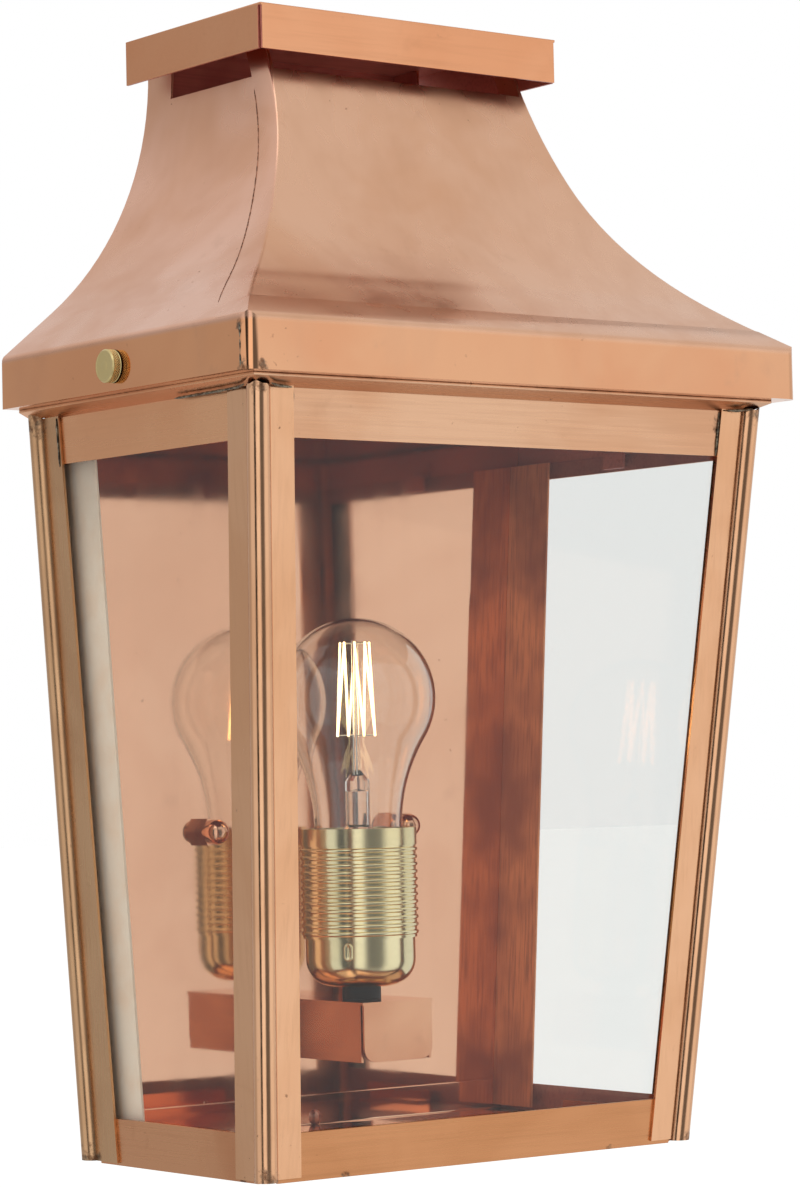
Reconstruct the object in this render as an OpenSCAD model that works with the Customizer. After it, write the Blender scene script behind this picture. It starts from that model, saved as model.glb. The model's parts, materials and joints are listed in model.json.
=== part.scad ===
// Half wall lantern of folded sheet copper: a tapering body with three panes of glass, a roof that
// sweeps up from a deep eave to a small vented cap, and a threaded brass lampholder with a clear bulb.
// Millimetres. The wall is behind the lantern at +Y, and the origin lies midway between the two
// fixing holes, on the rear face of the back plate.
// Inside the modules, y = 0 is the wall and z = 0 is the lower edge of the eave.

/* [Body] */
// Width of the glazed body at its top
body_w = 226; // [200:1:240]
// Width of the glazed body at its foot
foot_w = 190; // [170:1:200]
// Depth of the body at its top, measured from the wall
body_d = 145; // [130:1:155]
// Depth of the body at its foot
foot_d = 115; // [100:1:125]
// Height of the glazed body
body_h = 276; // [255:1:320]
// Thickness of the copper sheet
sheet = 1; // [0.8:0.1:1.2]
// Thickness of the window glass
glass_t = 3; // [2:0.5:3.5]
// Height of the flat rails above and below the glass
rail_h = 17; // [12:0.5:22]
// How far a pane reaches behind the rail above it
glass_lap = 6; // [3:0.5:8]

/* [Posts] */
// Radius of the round bead that runs down each corner
bead_r = 4.1; // [3.4:0.1:4.6]
// How far the middle of a bead lies inside the faces of the body
bead_in = 0.95; // [0.5:0.05:1.5]
// Width of a front post's flange on the front of the body
post_front = 15; // [10:0.5:20]
// Width of a front post's flange on the side of the body
post_side = 18; // [10:0.5:24]
// Reach of a rear post's side flange from the wall, at the top
post_rear = 18.4; // [14:0.2:24]
// Reach of a rear post's side flange from the wall, at the foot
post_rear_foot = 21.8; // [14:0.2:26]

/* [Eave] */
// How far the eave stands out past the body
eave_over = 12; // [9:0.5:16]
// Height of the eave band up to its fold
fascia_h = 18.8; // [16:0.2:24]
// Radius of the eave's front corners
corner_r = 4.7; // [3:0.1:6]
// Radius of the fold between the eave band and the roof
fold_r = 3; // [1.5:0.5:4]
// Width of the lip folded in under the eave band
lip_w = 9; // [6:0.5:9.5]
// Height of the collar that stands up inside the eave
collar_h = 15; // [10:0.5:16]
// How far the splay under the eave stands out from the body
splay_out = 5.3; // [4:0.1:7]

/* [Roof] */
// Width of the roof's neck under the cap
neck_w = 117.2; // [100:1:130]
// Height at which the side sweep turns upright
side_sweep_top = 131.1; // [128:0.5:134]
// Length of the straight run at the foot of the side sweep
side_run = 28.2; // [20:0.2:36]
// Distance from the eave to the end of the front sweep
front_sweep_in = 61.6; // [56:0.2:66]
// Height of the end of the front sweep
front_sweep_top = 84.7; // [80:0.5:90]
// Length of the straight run at the foot of the front sweep
front_run = 14.2; // [8:0.2:20]
// Slope of the front above its sweep, in degrees
front_slope = 66.2; // [62:0.2:70]
// Height of the roof up to the underside of the cap
roof_h = 140.1; // [136:0.5:150]
// Width of the front sheet's flange over each side sheet
lap_w = 10.7; // [6:0.1:14]
// Width of the strip left beside the wall when a side vent is cut
vent_strip = 16; // [10:0.5:24]
// Height of the sill of the vents
vent_sill = 118; // [110:0.5:124]
// Width of the cap
cap_w = 137; // [131:1:150]
// Depth of the cap, measured from the wall
cap_d = 88; // [84:1:100]
// Height of the cap
cap_h = 16.5; // [10:0.5:20]

/* [Fixing] */
// Distance between the two fixing holes
fix_gap = 90; // [70:1:110]
// Drop from the eave's lower edge to the fixing holes
fix_drop = 156.5; // [120:0.5:180]
// Radius of the fixing holes
fix_hole_r = 3.25; // [2.7:0.05:4.3]
// Distance across the flats of a fixing nut
nut_flats = 10; // [9:0.5:13]
// Diameter of a thumbscrew's head
thumb_d = 12; // [10:0.5:14]
// Distance of the thumbscrews from the wall
thumb_y = 74.6; // [40:0.2:100]

/* [Lamp] */
// Distance of the bulb's axis from the wall
lamp_y = 44.5; // [42:0.5:56]
// Height of the lampholder's rim, from the eave's lower edge
rim_z = -156.2; // [-170:0.2:-150]
// Radius of the lampholder's rim
rim_r = 21.75; // [21.5:0.05:24]
// Height of the lampholder from its rim to the bottom of its cup
holder_h = 58.8; // [56:0.2:62]
// Radius of the bulb
bulb_r = 30; // [26:0.5:31]
// Distance from the lampholder's rim up to the middle of the bulb
bulb_up = 48.8; // [46:0.2:56]
// Radius of the bulb's neck where it enters the lampholder
neck_r = 16.5; // [15:0.1:18]
// Width of the bracket under the lampholder
bracket_w = 32.4; // [28:0.2:40]
// Height of the bracket
bracket_h = 22; // [18:0.5:26]

/* [Hidden] */

$fn = 48;
// Room added to a cut so that it passes right through
past = 1;
// The rear beads stand between the wall and the back plate
wall_gap = 2 * bead_r;
side_lean = (body_w - foot_w) / 2 / body_h;
front_lean = (body_d - foot_d) / body_h;
side_tilt = atan(side_lean);
front_tilt = atan(front_lean);
eave_w = body_w + 2 * eave_over;
eave_d = body_d + eave_over;
// Insets of the layers of the body, counted inwards from its faces
rail_in = sheet;
glass_in = 2 * sheet;
stop_in = glass_in + glass_t;
plate_front = wall_gap + sheet;
// Clearance that keeps rails and panes off the round bead
bead_room = 0.45;
bead_clear = bead_in + bead_r + bead_room;
foot_rise = 1;
post_foot = -(body_h - foot_rise);
// Extra length of a leaning bead, cut off level below the body
bead_spare = 6;
// Folded section along the top of the body
collar_set = 3.3;
collar_in = collar_set - splay_out;
splay_rise = 0.479;
splay_grow = sqrt(1 + splay_rise * splay_rise);
rail_mid = 1.5 * sheet;
rail_top = splay_under(rail_mid) + sheet / 2;
rail_drop = 4;
top_sight = -(rail_drop + rail_h);
foot_sight = -(body_h - rail_h);
floor_rise = 6;
floor_z = -(body_h - floor_rise);
glass_top = top_sight + glass_lap;
// Clearance round a pane
pane_gap = 0.1;
glass_foot = floor_z + sheet + pane_gap;
// Half width and depth of the body where the top section is folded
top_w = body_w / 2 + side_lean * rail_top;
top_d = body_d + front_lean * rail_top;
clip_w = 12;
stop_reach = 33;
upstand_h = 12.2;
rivet_x = 2;
rivet_rise = 3.7;
rivet_z = floor_z + rivet_rise;
rivet_r = 1.75;
sweep_steps = 18;
fold_steps = 5;
// Fixings
thumb_z = 8.6;
thumb_head = 3.8;
thumb_shank_r = 2;
thumb_gap = 0.3;
boss_r = 5;
boss_l = 4;
boss_hole_r = 2.08;
nut_l = 5.5;
nut_whole = 12;
dome_r = 0.46 * nut_flats;
// Lampholder, counted downwards from its rim
band_h = 6.4;
ring_pitch = 2.8;
ring_count = 12;
ring_r = 0.95;
shell_wall = 1.15;
shell_h = 40.8;
shell_foot = rim_z - shell_h;
cup_step = 1.25;
cup_r = rim_r - cup_step;
cup_lap = 7;
cup_top = shell_foot + cup_lap;
cup_foot = rim_z - holder_h;
cup_round = 10;
insert_drop = 8;
insert_top = rim_z - insert_drop;
well_depth = 29.8;
insert_floor = rim_z - well_depth;
insert_base = 16;
insert_foot = insert_floor - insert_base;
cap_shell_r = 14;
thread_r = 13.4;
bulb_cap_r = 13.1;
contact_r = 1.5;
// Glass button under the bulb's cap
button_r = 10;
button_h = 2.3;
button_foot_r = 5;
bulb_tip_r = 4.5;
bulb_tip_h = 1;
cap_drop = 4.8;
bulb_cap_top = rim_z - cap_drop;
tip_drop = 27.1;
tip_z = rim_z - tip_drop;
nipple_r = 5;
nipple_bore = 3.5;
spacer_h = 4.8;
bracket_top = cup_foot - spacer_h;
bracket_reach = 22.3;
bracket_front = lamp_y + bracket_reach;
bracket_round = 5;
bracket_rivet_r = 1.5;
bracket_rivet_in = 5;
gland_z = bracket_top - bracket_h / 2;
gland_r = 5;
// Bulb
bulb_z = rim_z + bulb_up;
bulb_wall = 1;
cap_wall = 0.5;
seal_r = bulb_cap_r - cap_wall;
seal_depth = 5;
seal_z = bulb_cap_top - seal_depth;
strand_count = 8;
strand_r = 0.45;
knot_r = 1.15 * strand_r;
wire_gap = 0.02;
cage_r = 7.6;
cage_rise = 20.5;
cage_drop = 14;
cage_top = bulb_z + cage_rise;
cage_foot = bulb_z - cage_drop;
rod_r = 1.3;
tube_r = 4.6;
press_drop = 31;
press_taper = 4;
lead_r = (tube_r + rod_r) / 2;
hook_r = 0.25;
press_z = bulb_z - press_drop;

function half_w(z) = body_w / 2 + side_lean * z;
function depth(z) = body_d + front_lean * z;
// Unit vectors along a rising line and square to it, towards the inside of the roof
function along(angle) = [cos(angle), sin(angle)];
function inward(angle) = [sin(angle), -cos(angle)];
// Points along an arc, both ends included
function arc(centre, r, from, to, steps) =
    [for (i = [0 : steps]) centre + r * along(from + (to - from) * i / steps)];
// Radius of the arc that a straight run of this length meets and that ends at rise with this angle
function sweep_radius(run, rise, angle) = (rise * rise - run * run) / (2 * (rise * inward(angle)));
// Height of the underside of the splay at an inset from the face of the body
function splay_under(inset) = -sheet - (inset + splay_out) * splay_rise;

// Puts the lantern on its own origin
module placed() translate([0, wall_gap, fix_drop]) children();

// Copies a left-hand piece to the right
module handed(right) mirror([right ? 1 : 0, 0, 0]) children();

// Sheet in the leaning plane of the body's front, drawn in width and slope
module on_front(inset, thick) {
    translate([0, -body_d, 0]) rotate([front_tilt, 0, 0]) translate([0, inset + thick, 0])
        rotate([90, 0, 0]) linear_extrude(height = thick) children();
}

// Sheet in the leaning plane of the body's left side, drawn in depth and slope
module on_left(inset, thick) {
    translate([-body_w / 2, 0, 0]) rotate([0, -side_tilt, 0]) translate([inset, 0, 0])
        rotate([90, 0, 90]) linear_extrude(height = thick) children();
}

// Outline across the front between two heights, kept a gap away from both sides
module front_panel(low, high, gap) {
    polygon([
        [-half_w(low) + gap, low / cos(front_tilt)], [half_w(low) - gap, low / cos(front_tilt)],
        [half_w(high) - gap, high / cos(front_tilt)], [-half_w(high) + gap, high / cos(front_tilt)]
    ]);
}

// Outline along the left side between two heights, from a distance off the wall to a gap at the front
module side_panel(low, high, gap, rear) {
    polygon([
        [-rear, low / cos(side_tilt)], [-depth(low) + gap, low / cos(side_tilt)],
        [-depth(high) + gap, high / cos(side_tilt)], [-rear, high / cos(side_tilt)]
    ]);
}

// Strip with round bends that follows a list of points
module folded(points, thick) {
    for (i = [0 : len(points) - 2]) {
        step = points[i + 1] - points[i];
        translate(points[i]) rotate(atan2(step[1], step[0])) translate([0, -thick / 2])
            square([norm(step), thick]);
    }
    for (i = [1 : len(points) - 2])
        translate(points[i]) circle(d = thick, $fn = 24);
}

// Space above the splay, cut from what ends under it
module above_splay() {
    reach = 12;
    section = [
        [-reach, splay_under(-reach)], [0, splay_under(0)], [reach, splay_under(0)],
        [reach, collar_h], [-reach, collar_h]
    ];
    translate([-body_w, -top_d, 0]) rotate([90, 0, 90])
        linear_extrude(height = 2 * body_w) polygon(section);
    translate([-top_w, past, 0]) rotate([90, 0, 0])
        linear_extrude(height = 2 * body_d) polygon(section);
}

// Space under the feet of the posts
module below_feet() {
    translate([-body_w, -2 * body_d, post_foot - body_h])
        cube([2 * body_w, 3 * body_d, body_h]);
}

module front_post() {
    cross = front_lean * cos(side_tilt);
    difference() {
        union() {
            on_front(0, sheet) polygon([
                [-half_w(-body_h) + bead_in, -body_h], [-half_w(-body_h) + post_front, -body_h],
                [-half_w(0) + post_front, 0], [-half_w(0) + bead_in, 0]
            ]);
            on_left(0, sheet) polygon([
                [-depth(-body_h) + bead_in, -body_h], [-depth(-body_h) + post_side, -body_h],
                [-depth(0) + post_side, 0], [-depth(0) + bead_in, 0]
            ]);
            translate([bead_in - body_w / 2, bead_in - body_d, 0])
                rotate([atan(cross), -side_tilt, 0]) translate([0, 0, -body_h - bead_spare])
                cylinder(r = bead_r, h = body_h + bead_spare);
        }
        translate([bead_in - body_w / 2, bead_in - body_d, 0])
            rotate([atan(cross), -side_tilt, 0]) translate([0, 0, -body_h - bead_spare - past])
            cylinder(r = bead_r - sheet, h = body_h + bead_spare + 2 * past);
        above_splay();
        below_feet();
    }
}

module rear_post() {
    flange_w = 15;
    difference() {
        union() {
            on_left(0, sheet) polygon([
                [-bead_r, -body_h], [-post_rear_foot, -body_h], [-post_rear, 0], [-bead_r, 0]
            ]);
            translate([0, sheet - wall_gap, 0]) rotate([90, 0, 0])
                linear_extrude(height = sheet) polygon([
                    [-half_w(-body_h) + bead_in, -body_h], [-half_w(-body_h) + flange_w, -body_h],
                    [-half_w(0) + flange_w, 0], [-half_w(0) + bead_in, 0]
                ]);
            translate([bead_in - body_w / 2, -bead_r, 0]) rotate([0, -side_tilt, 0])
                translate([0, 0, -body_h - bead_spare]) cylinder(r = bead_r, h = body_h + bead_spare);
        }
        translate([bead_in - body_w / 2, -bead_r, 0]) rotate([0, -side_tilt, 0])
            translate([0, 0, -body_h - bead_spare - past])
            cylinder(r = bead_r - sheet, h = body_h + bead_spare + 2 * past);
        above_splay();
        below_feet();
    }
}

module front_post_left() color("#b98563") placed() front_post();
module front_post_right() color("#b98563") placed() handed(true) front_post();
module rear_post_left() color("#a8714f") placed() rear_post();
module rear_post_right() color("#a8714f") placed() handed(true) rear_post();

// Sheet behind the lamp, which hangs on the wall studs and rises to close the collar at the rear
module back_plate() color("#d99a74") placed() {
    low = floor_z;
    shoulder_drop = 0.5;
    inner_step = 4;
    shoulder = splay_under(rail_in) - shoulder_drop;
    inner = top_w - inner_step;
    difference() {
        translate([0, -wall_gap, 0]) rotate([90, 0, 0]) linear_extrude(height = sheet) union() {
            polygon([
                [-half_w(low) + rail_in, low], [half_w(low) - rail_in, low],
                [half_w(shoulder) - rail_in, shoulder], [-half_w(shoulder) + rail_in, shoulder]
            ]);
            translate([-inner, shoulder - past]) square([2 * inner, past - shoulder + past]);
            translate([-top_w + collar_in + sheet, 0])
                square([2 * (top_w - collar_in - sheet), collar_h]);
        }
        for (x = [-1, 1])
            translate([x * fix_gap / 2, past - wall_gap, -fix_drop]) rotate([90, 0, 0])
                cylinder(r = fix_hole_r, h = sheet + 2 * past);
        translate([0, past - wall_gap, gland_z]) rotate([90, 0, 0])
            cylinder(r = gland_r, h = sheet + 2 * past);
        translate([rivet_x, past - wall_gap, rivet_z]) rotate([90, 0, 0])
            cylinder(r = rivet_r, h = sheet + 2 * past);
        bracket_rivet_holes();
    }
}

// Folded section above a top rail: splay, return and collar, drawn in inset and height
module top_fold() {
    inner = collar_in + sheet;
    meet = sheet * splay_grow / splay_rise - splay_out;
    polygon([
        [-splay_out, -sheet], [rail_mid, splay_under(rail_mid)],
        [rail_mid, splay_under(rail_mid) + sheet * splay_grow], [meet, -sheet], [inner, -sheet],
        [inner, collar_h], [collar_in, collar_h], [collar_in, 0], [-splay_out, 0]
    ]);
}

// Share of the corner that belongs to the front, cut at 45 degrees
module front_mitre() {
    reach = 30;
    translate([0, -top_d, -body_h]) linear_extrude(height = 2 * body_h) polygon([
        [-top_w - reach, -reach], [top_w + reach, -reach],
        [top_w - reach, reach], [-top_w + reach, reach]
    ]);
}

module top_rail_front() color("#c08a66") placed() {
    on_front(rail_in, sheet) front_panel(top_sight, rail_top, bead_clear);
    intersection() {
        translate([-body_w, -top_d, 0]) rotate([90, 0, 90])
            linear_extrude(height = 2 * body_w) top_fold();
        front_mitre();
    }
}

module top_rail_side() {
    // Staggered cuts, so that no two faces meet in one plane
    side_gap = 0.2;
    rear_gap = 0.3;
    on_left(rail_in, sheet) side_panel(top_sight, rail_top, bead_clear, plate_front);
    difference() {
        translate([-top_w, 0, 0]) rotate([90, 0, 0])
            linear_extrude(height = top_d + 2 * splay_out) top_fold();
        front_mitre();
        translate([-body_w, -wall_gap, 0]) cube([body_w, body_d, 2 * collar_h]);
        translate([-top_w - side_gap, -plate_front - rear_gap, -collar_h])
            cube([body_w / 2, body_d, 2 * collar_h]);
    }
}

module top_rail_left() color("#b07a58") placed() top_rail_side();
module top_rail_right() color("#b07a58") placed() handed(true) top_rail_side();

module bottom_rail_front() color("#c08a66") placed()
    on_front(rail_in, sheet) front_panel(-body_h, foot_sight, bead_clear);

module bottom_rail_side()
    on_left(rail_in, sheet) side_panel(-body_h, foot_sight, bead_clear, plate_front);

module bottom_rail_left() color("#b07a58") placed() bottom_rail_side();
module bottom_rail_right() color("#b07a58") placed() handed(true) bottom_rail_side();

module glass_front() color("#dfe8e4", 0.35) placed()
    on_front(glass_in, glass_t) front_panel(glass_foot, glass_top, bead_clear);

module glass_side()
    on_left(glass_in, glass_t) side_panel(glass_foot, glass_top, bead_clear, plate_front + 2 * pane_gap);

module glass_left() color("#dfe8e4", 0.35) placed() glass_side();
module glass_right() color("#dfe8e4", 0.35) placed() handed(true) glass_side();

// Strip behind the rear edge of a side pane
module glass_stop() {
    low = glass_foot + 2 * pane_gap;
    high = glass_top;
    on_left(stop_in, sheet) polygon([
        [-plate_front, low], [-stop_reach, low], [-stop_reach, high], [-plate_front, high]
    ]);
}

module glass_stop_left() color("#c98f6a") placed() glass_stop();
module glass_stop_right() color("#c98f6a") placed() handed(true) glass_stop();

// Stepped clip, soldered to the rail above a pane and reaching down behind it
module clip_section() {
    clip_rise = 6;
    clip_hold = 0.5;
    step = glass_top + pane_gap + sheet / 2;
    folded([
        [glass_in + sheet / 2, step + clip_rise], [glass_in + sheet / 2, step],
        [stop_in + sheet / 2, step], [stop_in + sheet / 2, top_sight + clip_hold]
    ], sheet);
}

module glass_clips() color("#b07a58") placed() {
    for (x = [-1, 1])
        translate([x * body_w / 5 - clip_w / 2, -body_d, 0]) rotate([front_tilt, 0, 0])
            rotate([90, 0, 90]) linear_extrude(height = clip_w) clip_section();
    for (right = [false, true])
        handed(right) translate([-body_w / 2, -body_d / 2 + clip_w / 2, 0]) rotate([0, -side_tilt, 0])
            rotate([90, 0, 0]) linear_extrude(height = clip_w) clip_section();
}

// Angle on the floor behind the foot of a pane, drawn in inset and slope, with a level foot
module stop_section(tilt) {
    rise = 5;
    foot = 6;
    level = floor_z + 1.5 * sheet + pane_gap;
    bend = [stop_in + sheet / 2, level / cos(tilt) - (stop_in + sheet) * tan(tilt)];
    folded([bend + [0, rise], bend, bend + foot * [cos(tilt), -sin(tilt)]], sheet);
}

module pane_stops() color("#b07a58") placed() {
    front_l = 60;
    side_l = 40;
    translate([-front_l / 2, -body_d, 0]) rotate([front_tilt, 0, 0]) rotate([90, 0, 90])
        linear_extrude(height = front_l) stop_section(front_tilt);
    for (right = [false, true])
        handed(right) translate([-body_w / 2, -body_d / 2 + side_l / 2, 0]) rotate([0, -side_tilt, 0])
            rotate([90, 0, 0]) linear_extrude(height = side_l) stop_section(side_tilt);
}

// Floor of the body, with an upstand riveted to the back plate
module bottom_plate() color("#a8714f") placed() {
    edge = half_w(floor_z) - glass_in - pane_gap / 2;
    front = depth(floor_z) - glass_in - pane_gap / 2;
    notch = bead_clear;
    upstand = half_w(floor_z) - stop_in - sheet - 1;
    difference() {
        union() {
            translate([-edge, -front, floor_z]) cube([2 * edge, front - plate_front, sheet]);
            translate([-upstand, -plate_front - sheet, floor_z])
                cube([2 * upstand, sheet, upstand_h]);
        }
        for (x = [-1, 1])
            translate([x * edge - notch, -front - notch, floor_z - past])
                cube([2 * notch, 2 * notch, sheet + 2 * past]);
        translate([rivet_x, -plate_front + past, rivet_z]) rotate([90, 0, 0])
            cylinder(r = rivet_r, h = sheet + 2 * past);
    }
}

// Round-headed rivet through two sheets, head towards the room
module rivet(shank_r, grip) {
    head_r = 1.9 * shank_r;
    head_h = 1.3;
    tail_h = 0.8;
    rotate([90, 0, 0]) {
        translate([0, 0, -grip - tail_h]) cylinder(r = 1.5 * shank_r, h = tail_h);
        translate([0, 0, -grip]) cylinder(r = shank_r, h = grip);
        intersection() {
            translate([0, 0, head_h - 1.2 * head_r]) sphere(r = 1.2 * head_r);
            cylinder(r = head_r, h = 2 * head_r);
        }
    }
}

module bottom_rivet() color("#8a5a40") placed()
    translate([rivet_x, -plate_front - sheet, rivet_z]) rivet(rivet_r, 2 * sheet);

// Points up the swept outline of one face of the roof, set in by a distance.
// They are given as an inset from the eave and a height.
function swept_line(run, rise, angle, set_in) = let (
    start = [0, fascia_h],
    radius = sweep_radius(run, rise, angle),
    centre = start + rise - radius * inward(angle),
    lead = atan2(centre[1] - start[1], centre[0] - start[0]) - atan2(radius, run),
    fold_drop = (1 - sin(lead)) / cos(lead),
    fold = [fold_r, fascia_h - fold_r * fold_drop],
    bend = set_in < fold_r
        ? arc(fold, fold_r - set_in, 180, lead + 90, fold_steps)
        : [[set_in, fascia_h - set_in * fold_drop]],
    upper = start + rise + set_in * inward(angle),
    top_z = roof_h + 2 * past,
    top = [upper[0] + (top_z - upper[1]) * cos(angle) / sin(angle), top_z]
) concat([[set_in, -past]], bend, arc(centre, radius + set_in, lead - 90, angle - 90, sweep_steps), [top]);

// Space inside both side faces of the roof
module side_block(set_in) {
    rise = [(eave_w - neck_w) / 2, side_sweep_top - fascia_h];
    line = swept_line(side_run, rise, 90, set_in);
    left = [for (p = line) [p[0] - eave_w / 2, p[1]]];
    right = [for (i = [len(line) - 1 : -1 : 0]) [eave_w / 2 - line[i][0], line[i][1]]];
    translate([0, 2 * past, 0]) rotate([90, 0, 0])
        linear_extrude(height = eave_d + 10) polygon(concat(left, right));
}

// Space inside the front face of the roof
module front_block(set_in) {
    rise = [front_sweep_in, front_sweep_top - fascia_h];
    line = swept_line(front_run, rise, front_slope, set_in);
    rear = eave_d + 2 * past;
    translate([-eave_w, -eave_d, 0]) rotate([90, 0, 90]) linear_extrude(height = 2 * eave_w)
        polygon(concat(line, [[rear, roof_h + 2 * past], [rear, -past]]));
}

// Upright block inside the eave band, with its two front corners rounded
module eave_block(set_in, low, high, rear) {
    mid = [eave_w / 2 - corner_r, corner_r - eave_d];
    side = eave_w / 2 - set_in;
    translate([0, 0, low]) linear_extrude(height = high - low) polygon(concat(
        [[-side, rear]], arc([-mid[0], mid[1]], corner_r - set_in, 180, 270, 6),
        arc(mid, corner_r - set_in, 270, 360, 6), [[side, rear]]
    ));
}

// Shell of the whole roof, open at the rear, at the top and inside its lip
module roof_shell() {
    difference() {
        intersection() {
            eave_block(0, 0, roof_h, 0);
            side_block(0);
            front_block(0);
        }
        intersection() {
            eave_block(sheet, sheet, roof_h + past, past);
            side_block(sheet);
            front_block(sheet);
        }
        translate([-eave_w / 2 + lip_w, -eave_d + lip_w, -past])
            cube([eave_w - 2 * lip_w, eave_d, sheet + 2 * past]);
    }
}

// Share of the shell that the front sheet makes: its face, its flanges over the sides,
// the rounded corners of the eave band and the mitred front lip
module front_share() {
    high = roof_h + 2 * past;
    difference() {
        translate([-eave_w, -eave_d - 10, fascia_h])
            cube([2 * eave_w, eave_d + 20, high - fascia_h]);
        front_block(lap_w);
    }
    translate([-eave_w, -eave_d - 10, sheet]) cube([2 * eave_w, 10 + corner_r, fascia_h - sheet]);
    translate([0, -eave_d, -past]) linear_extrude(height = sheet + past) polygon([
        [-eave_w, -10], [eave_w, -10], [eave_w, corner_r], [eave_w / 2 - corner_r, corner_r],
        [eave_w / 2 - lip_w - past, lip_w + past], [-eave_w / 2 + lip_w + past, lip_w + past],
        [-eave_w / 2 + corner_r, corner_r], [-eave_w, corner_r]
    ]);
}

module roof_front() color("#d8a37c") placed() {
    rim = 1.5;
    vent_w = neck_w - 2 * rim;
    difference() {
        intersection() {
            roof_shell();
            front_share();
        }
        translate([-vent_w / 2, -eave_d, vent_sill + rim]) cube([vent_w, eave_d, roof_h]);
    }
}

module roof_side() {
    difference() {
        intersection() {
            roof_shell();
            translate([-eave_w, -eave_d - past, -past])
                cube([eave_w, eave_d + 2 * past, roof_h + 2 * past]);
        }
        front_share();
        translate([-eave_w, -eave_d - vent_strip, vent_sill]) cube([2 * eave_w, eave_d, roof_h]);
        translate([-eave_w / 2 - past, -thumb_y, thumb_z]) rotate([0, 90, 0])
            cylinder(r = boss_hole_r, h = sheet + 2 * past);
    }
}

module roof_left() color("#b07a58") placed() roof_side();
module roof_right() color("#b07a58") placed() handed(true) roof_side();

// Flat sheet against the wall, set between the two side sheets
module roof_back() color("#a8714f") placed() {
    intersection() {
        side_block(sheet);
        translate([-eave_w, -sheet, sheet]) cube([2 * eave_w, sheet, roof_h - sheet]);
    }
}

// Folded box with a front and two side flanges and open corners
module roof_cap() color("#d8a37c") placed() {
    seam = 0.6;
    low = roof_h + sheet - cap_h;
    translate([-cap_w / 2, -cap_d, roof_h]) cube([cap_w, cap_d, sheet]);
    translate([-cap_w / 2 + seam, -cap_d, low]) cube([cap_w - 2 * seam, sheet, cap_h]);
    for (right = [false, true])
        handed(right) translate([-cap_w / 2, -cap_d + sheet + seam, low])
            cube([sheet, cap_d - sheet - seam, cap_h]);
}

// Threaded bosses behind the eave band
module screw_bosses() color("#b9975a") placed() {
    for (right = [false, true])
        handed(right) translate([-eave_w / 2 + sheet, -thumb_y, thumb_z]) rotate([0, 90, 0])
            difference() {
                cylinder(r = boss_r, h = boss_l);
                translate([0, 0, -past]) cylinder(r = boss_hole_r, h = boss_l + 2 * past);
            }
}

// Screw that clamps the eave to the collar, turned with a chamfered round head
module thumbscrew() {
    collar_face = top_w - collar_in;
    chamfer = 0.5;
    r = thumb_d / 2;
    translate([-eave_w / 2, -thumb_y, thumb_z]) rotate([0, 90, 0]) {
        rotate_extrude() polygon([
            [0, -thumb_head], [r - chamfer, -thumb_head], [r, chamfer - thumb_head],
            [r, -chamfer], [r - chamfer, 0], [0, 0]
        ]);
        cylinder(r = thumb_shank_r, h = eave_w / 2 - collar_face - thumb_gap);
    }
}

module thumbscrew_left() color("#cdb46a") placed() thumbscrew();
module thumbscrew_right() color("#cdb46a") placed() handed(true) thumbscrew();

// Domed nuts that hold the back plate on the wall studs
module wall_nuts() color("#c98f6a") placed() {
    stud_r = 3;
    stud_l = 9;
    for (x = [-1, 1])
        translate([x * fix_gap / 2, -plate_front, -fix_drop]) rotate([90, 0, 0])
            difference() {
                union() {
                    cylinder(r = nut_flats / 2 / cos(30), h = nut_l, $fn = 6);
                    cylinder(r = dome_r, h = nut_whole - dome_r);
                    translate([0, 0, nut_whole - dome_r]) sphere(r = dome_r);
                }
                translate([0, 0, -past]) cylinder(r = stud_r, h = stud_l + past);
            }
}

// Places for the rivets of the bracket
module bracket_spots() {
    for (x = [-1, 1])
        translate([x * (bracket_w / 2 - bracket_rivet_in), 0, bracket_top - bracket_rivet_in]) children();
}

module bracket_rivet_holes() {
    bracket_spots() translate([0, past - wall_gap, 0]) rotate([90, 0, 0])
        cylinder(r = bracket_rivet_r, h = 2 * sheet + 2 * past);
}

// Inverted tray that carries the lampholder: a top with four flanges and open corners
module bracket() color("#dda27c") placed() {
    seam = 0.5;
    grommet_room = 2.5;
    low = bracket_top - bracket_h;
    half = bracket_w / 2;
    run = bracket_front - plate_front;
    difference() {
        union() {
            translate([-half, -bracket_front, bracket_top - sheet]) cube([bracket_w, run, sheet]);
            translate([0, -bracket_front + sheet, 0]) rotate([90, 0, 0])
                linear_extrude(height = sheet) front_flange_outline(half - seam, low);
            translate([-half, -plate_front - sheet, low]) cube([bracket_w, sheet, bracket_h]);
            for (x = [-half, half - sheet])
                translate([x, -bracket_front + sheet + seam, low])
                    cube([sheet, run - sheet - seam, bracket_h]);
        }
        translate([0, -lamp_y, bracket_top - sheet - past]) cylinder(r = nipple_r, h = sheet + 2 * past);
        translate([0, past - plate_front, gland_z]) rotate([90, 0, 0])
            cylinder(r = gland_r + grommet_room, h = sheet + 2 * past);
        bracket_rivet_holes();
    }
}

// Front flange of the bracket, rounded at its two lower corners
module front_flange_outline(half, low) {
    translate([-half, low + bracket_round]) square([2 * half, bracket_top - low - bracket_round]);
    translate([bracket_round - half, low]) square([2 * (half - bracket_round), bracket_round]);
    for (x = [-1, 1])
        translate([x * (half - bracket_round), low + bracket_round]) circle(r = bracket_round);
}

module bracket_rivets() color("#b07a58") placed()
    bracket_spots() translate([0, -plate_front - sheet, 0]) rivet(bracket_rivet_r, 2 * sheet);

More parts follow.
